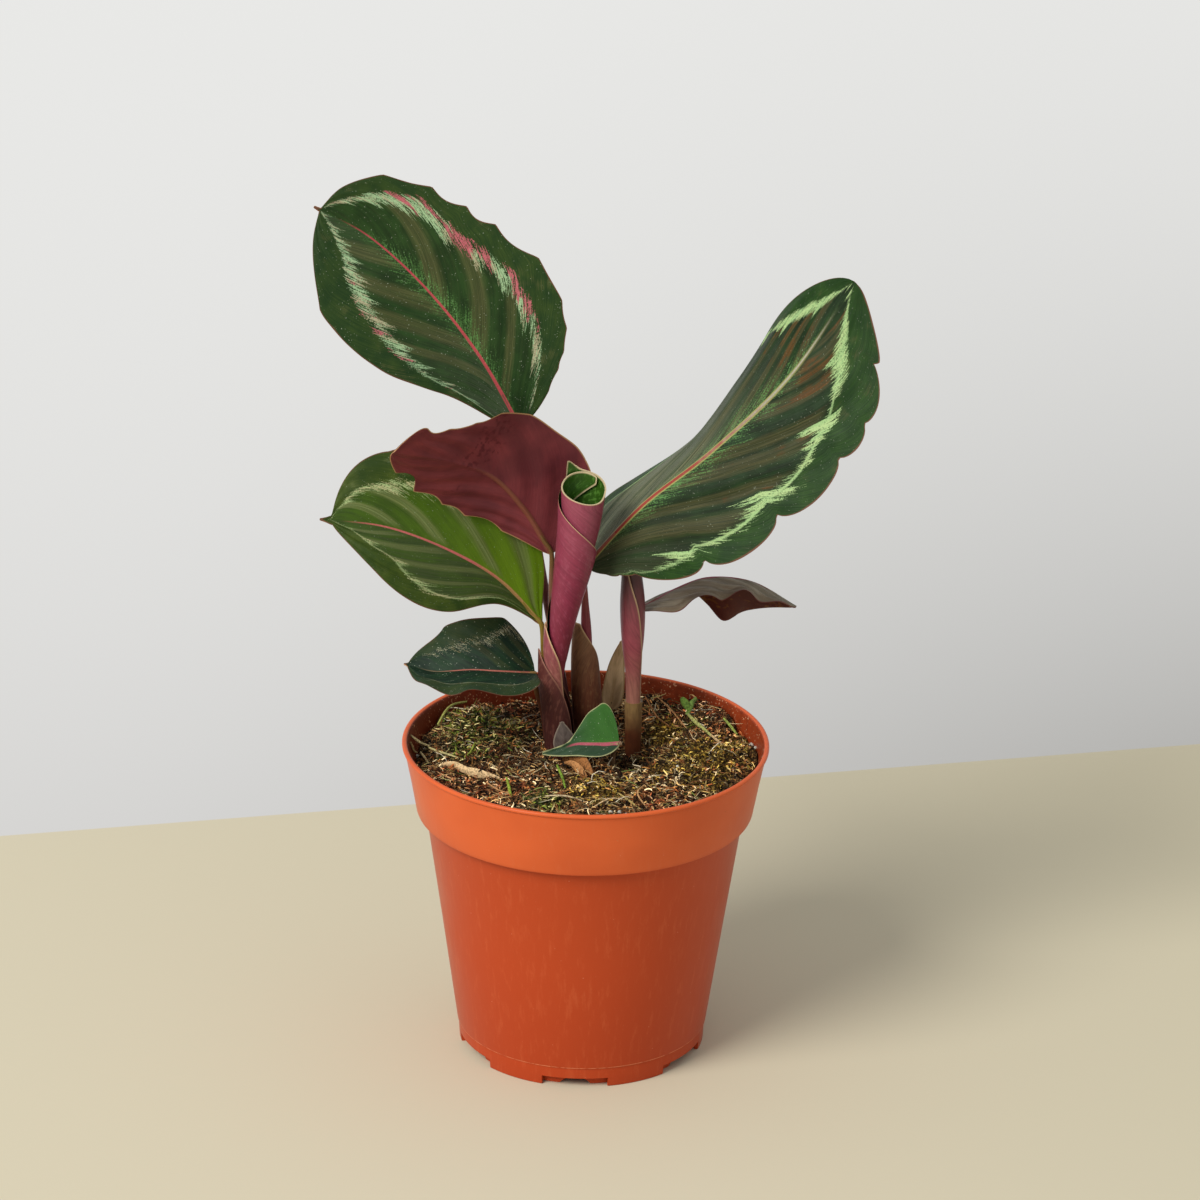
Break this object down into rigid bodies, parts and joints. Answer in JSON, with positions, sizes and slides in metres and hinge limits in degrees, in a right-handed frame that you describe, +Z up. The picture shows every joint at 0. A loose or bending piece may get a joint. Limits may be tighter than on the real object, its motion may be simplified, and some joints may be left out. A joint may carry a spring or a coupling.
{
  "type": "potted plant",
  "caption": "Young calathea with broad patterned leaves, a maroon leaf underside and rolled shoots, standing in mossy soil in a round terracotta-coloured nursery pot.",
  "frame": {"origin": "on the ground under the middle of the plant's box, which is within 1 mm of the pot's axis at the pot's base", "axes": "+Z up; the front view, with the tall leaf leaning left and the large leaf leaning right, looks along +Y"},
  "size_m": [0.1834, 0.12, 0.284],
  "materials": {
    "pot_plastic": "satin",
    "soil": "matte",
    "leaf_green": "satin",
    "leaf_maroon": "satin",
    "shoot_magenta": "satin",
    "sheath_brown": "satin",
    "bract_tan": "matte"
  },
  "bodies": {
    "root": {"pot": "pot_plastic", "growing_medium": "soil", "leaf_tall": "leaf_green", "leaf_front": "leaf_maroon", "leaf_left": "leaf_green", "leaf_low": "leaf_green", "leaf_right": "leaf_green", "leaf_back": "leaf_green", "leaf_small": "leaf_green", "leaf_rolled": "shoot_magenta", "shoot_rolled": "shoot_magenta", "sheath_front": "sheath_brown", "sheath_middle": "sheath_brown", "bract_dry": "bract_tan", "bract_small": "bract_tan"}
  },
  "joints": []
}
